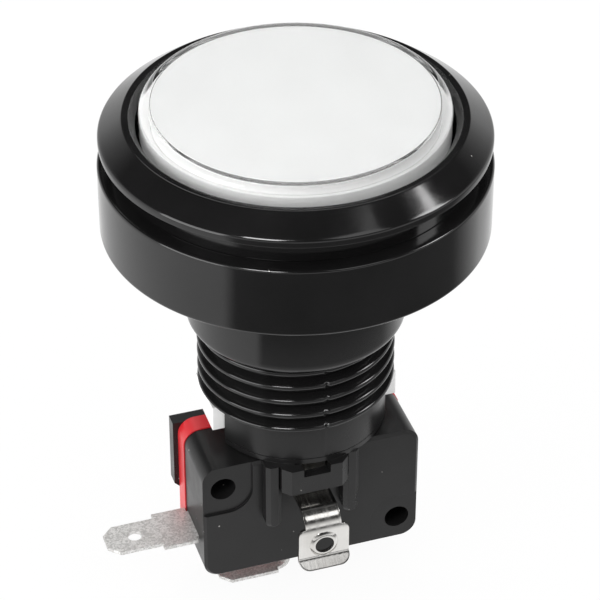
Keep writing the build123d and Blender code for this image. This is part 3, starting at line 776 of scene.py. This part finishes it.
# Card with painted shade on the floor in front, seen only in reflections, where it darkens the floor they
# show; its angles counted from the camera's side
CARD_FROM_DEG = -37
CARD_TO_DEG = 120
CARD_SOFT_DEG = 6  # over which its left edge turns dark
CARD_FADE_DEG = 28  # over which its right edge turns pale
CARD_NEAR = 0.032
CARD_FAR = 0.5
CARD_DARK = 0.07  # distance from the axis where it is darkest
CARD_LEVEL = 0.15  # how pale it stays there
CARD_LIFT = 0.0002
CARD_GRID = (76, 48)  # points round and outwards


def seen_directly(tree):
    """Two values: 1 for rays from the eye, and 1 for its mirrored rays and those through clear plastic,
    as long as no matt surface has scattered them."""
    path = add_node(tree, "ShaderNodeLightPath")
    mirrored = calc(tree, "MAXIMUM", path.outputs["Is Glossy Ray"], path.outputs["Is Transmission Ray"])
    unscattered = calc(tree, "LESS_THAN", path.outputs["Diffuse Depth"], 0.5)
    return path.outputs["Is Camera Ray"], calc(tree, "MULTIPLY", mirrored, unscattered)


def room():
    """White room to the eye, with a dark ceiling in reflections and an even level for matt surfaces."""
    world = bpy.data.worlds.new("room")
    bpy.context.scene.world = world
    world.use_nodes = True
    tree = world.node_tree
    eye, mirrored = seen_directly(tree)
    direction = add_node(tree, "ShaderNodeTexCoord").outputs["Generated"]
    height = add_node(tree, "ShaderNodeSeparateXYZ", {"Vector": direction}).outputs["Z"]
    ceiling = spread(tree, height, low=1.0, high=CEILING_LEVEL, start=CEILING_FROM, end=CEILING_TO)
    other = add_node(tree, "ShaderNodeMapRange", {"Value": mirrored, "To Min": AMBIENT, "To Max": ceiling})
    level = add_node(tree, "ShaderNodeMapRange", {"Value": eye, "To Min": other.outputs[0], "To Max": 1.0})
    tree.links.new(level.outputs[0], tree.nodes["Background"].inputs["Strength"])
    tree.nodes["Background"].inputs["Color"].default_value = (1, 1, 1, 1)


def floor():
    """Pale floor, white to the eye and in reflections, with a trace of the shadow."""
    mesh = bpy.data.meshes.new("floor")
    corners = [(-FLOOR_HALF, -FLOOR_HALF, FLOOR_Z), (FLOOR_HALF, -FLOOR_HALF, FLOOR_Z),
               (FLOOR_HALF, FLOOR_HALF, FLOOR_Z), (-FLOOR_HALF, FLOOR_HALF, FLOOR_Z)]
    mesh.from_pydata(corners, [], [(0, 1, 2, 3)])
    plane = bpy.data.objects.new("floor", mesh)
    bpy.context.scene.collection.objects.link(plane)
    finish = bpy.data.materials.new("floor_white")
    finish.use_nodes = True
    tree = finish.node_tree
    tree.nodes.remove(tree.nodes["Principled BSDF"])
    matt = add_node(tree, "ShaderNodeBsdfDiffuse", {"Color": (0.9, 0.9, 0.9, 1)})
    glow = add_node(tree, "ShaderNodeEmission", {"Color": (1, 1, 1, 1), "Strength": 1.0})
    eye, mirrored = seen_directly(tree)
    share = calc(tree, "MULTIPLY", calc(tree, "MAXIMUM", eye, mirrored), FLOOR_SEEN)
    blend = add_node(tree, "ShaderNodeMixShader", {0: share, 1: matt.outputs[0], 2: glow.outputs[0]})
    tree.links.new(blend.outputs[0], tree.nodes["Material Output"].inputs["Surface"])
    mesh.materials.append(finish)


def dark_card():
    """Fan-shaped card on the floor in front with painted shade, an emission that only reflections see and
    that darkens the floor in them:
    rings about the axis between two angles from the camera's side. Its shade is the product of a ramp in from
    each side edge and a ramp from the near edge outwards."""
    offset = np.linspace(CARD_FROM_DEG, CARD_TO_DEG, CARD_GRID[0])[:, None]
    radius = np.linspace(CARD_NEAR, CARD_FAR, CARD_GRID[1])[None, :]
    angle = np.radians(-90 - VIEW_AZ + offset)
    place = np.broadcast_arrays(radius * np.cos(angle), radius * np.sin(angle), FLOOR_Z + CARD_LIFT)
    points = np.stack(place, axis=-1)
    edge = np.clip((CARD_TO_DEG - offset) / CARD_FADE_DEG, 0, 1)
    edge = edge * np.clip((offset - CARD_FROM_DEG) / CARD_SOFT_DEG, 0, 1)
    inner = np.clip((radius - CARD_NEAR) / (CARD_DARK - CARD_NEAR), 0, 1)
    # Painted shade: the emission level at each point, pale at the near edge and the side edges and darkest in
    # between, seen only in reflections
    shade = 1 - (1 - CARD_LEVEL) * edge * inner
    mesh = bpy.data.meshes.new("dark_card")
    mesh.from_pydata(points.reshape(-1, 3).tolist(), [], grid_faces(*points.shape[:2], False, False).tolist())
    mesh.attributes.new("shade", "FLOAT", "POINT").data.foreach_set("value", shade.ravel().astype(np.float32))
    card = bpy.data.objects.new("dark_card", mesh)
    bpy.context.scene.collection.objects.link(card)
    finish = bpy.data.materials.new("card_painted_shade")
    finish.use_nodes = True
    tree = finish.node_tree
    tree.nodes.remove(tree.nodes["Principled BSDF"])
    level = add_node(tree, "ShaderNodeAttribute", attribute_name="shade").outputs["Fac"]
    glow = add_node(tree, "ShaderNodeEmission", {"Color": (1, 1, 1, 1), "Strength": level})
    tree.links.new(glow.outputs[0], tree.nodes["Material Output"].inputs["Surface"])
    mesh.materials.append(finish)
    card.visible_camera = False
    card.visible_diffuse = False
    card.visible_shadow = False
    card.visible_transmission = False


# Pieces that the two streak lights are kept to
DARK_AND_METAL = ("bezel_and_stem", "thread", "collar", "pilot_front", "pilot_back", "front_lug", "rear_lug",
                  "lamp_holder_eased", "switch_case_eased", "com_terminal_eased", "no_terminal_eased")


def soft_light(name, place, size, watts, only_on=()):
    """Rectangular soft light that points at the origin, on everything or only on the named pieces."""
    lamp = bpy.data.lights.new(name, "AREA")
    lamp.shape = "RECTANGLE"
    lamp.size, lamp.size_y = size
    lamp.energy = watts
    light = bpy.data.objects.new(name, lamp)
    bpy.context.scene.collection.objects.link(light)
    light.location = place
    light.rotation_euler = (-Vector(place)).to_track_quat("-Z", "Y").to_euler()
    if only_on:
        lit = bpy.data.collections.new(name + "_lit")
        for piece in only_on:
            lit.objects.link(bpy.data.objects[piece])
        light.light_linking.receiver_collection = lit


def camera():
    """Camera at the photograph's angle, aimed along a line that meets the axis."""
    az, el = math.radians(VIEW_AZ), math.radians(VIEW_EL)
    forward = Vector((math.cos(el) * math.sin(az), math.cos(el) * math.cos(az), -math.sin(el)))
    lens = bpy.data.cameras.new("camera")
    lens.sensor_width = VIEW_SENSOR
    lens.lens = VIEW_LENS
    lens.shift_x, lens.shift_y = VIEW_SHIFT
    lens.clip_start = VIEW_NEAREST
    eye = bpy.data.objects.new("camera", lens)
    bpy.context.scene.collection.objects.link(eye)
    eye.location = VIEW_AIM - VIEW_DISTANCE * forward
    eye.rotation_euler = forward.to_track_quat("-Z", "Y").to_euler()
    bpy.context.scene.camera = eye


dress()
room()
floor()
dark_card()
# Lights by place and size in metres and by watts
soft_light("front_light", (0.13, -0.28, 0.39), (0.2, 0.2), 0.2)
soft_light("front_left_light", (-0.2, -0.25, 0.38), (0.14, 0.16), 1.1, DARK_AND_METAL)
soft_light("left_light", (-0.42, -0.12, 0.12), (0.3, 0.3), 0.95)
soft_light("right_light", (0.38, -0.13, 0.32), (0.12, 0.16), 0.7, DARK_AND_METAL)
soft_light("back_light", (0.05, 0.4, 0.55), (0.5, 0.26), 0.84)
camera()
bpy.context.scene.view_settings.view_transform = "Standard"
